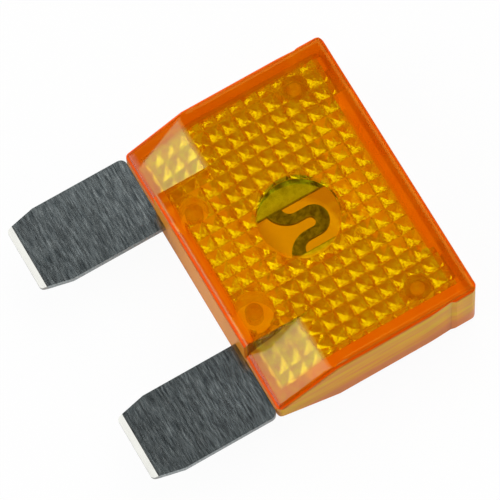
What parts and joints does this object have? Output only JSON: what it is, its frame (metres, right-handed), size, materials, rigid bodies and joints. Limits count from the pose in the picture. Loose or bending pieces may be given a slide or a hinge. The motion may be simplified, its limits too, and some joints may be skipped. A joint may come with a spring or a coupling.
{
  "type": "automotive blade fuse",
  "caption": "Large automotive blade fuse: see-through amber housing with studded walls and a round window, two flat blades and a wavy link.",
  "frame": {"origin": "middle of the box around the fuse in X and Y, at the height of the back face it lies on", "axes": "+X across the two blades, +Y from the blade tips to the head of the housing, +Z from the back face to the front face"},
  "size_m": [0.0292, 0.0344, 0.0089],
  "materials": {
    "amber_plastic": "clear amber, glossy",
    "zinc": "dull grey zinc, lightly brushed across the blades"
  },
  "bodies": {
    "root": {"front_shell": "amber_plastic", "rear_shell": "amber_plastic", "fuse_element": "zinc"}
  },
  "joints": []
}
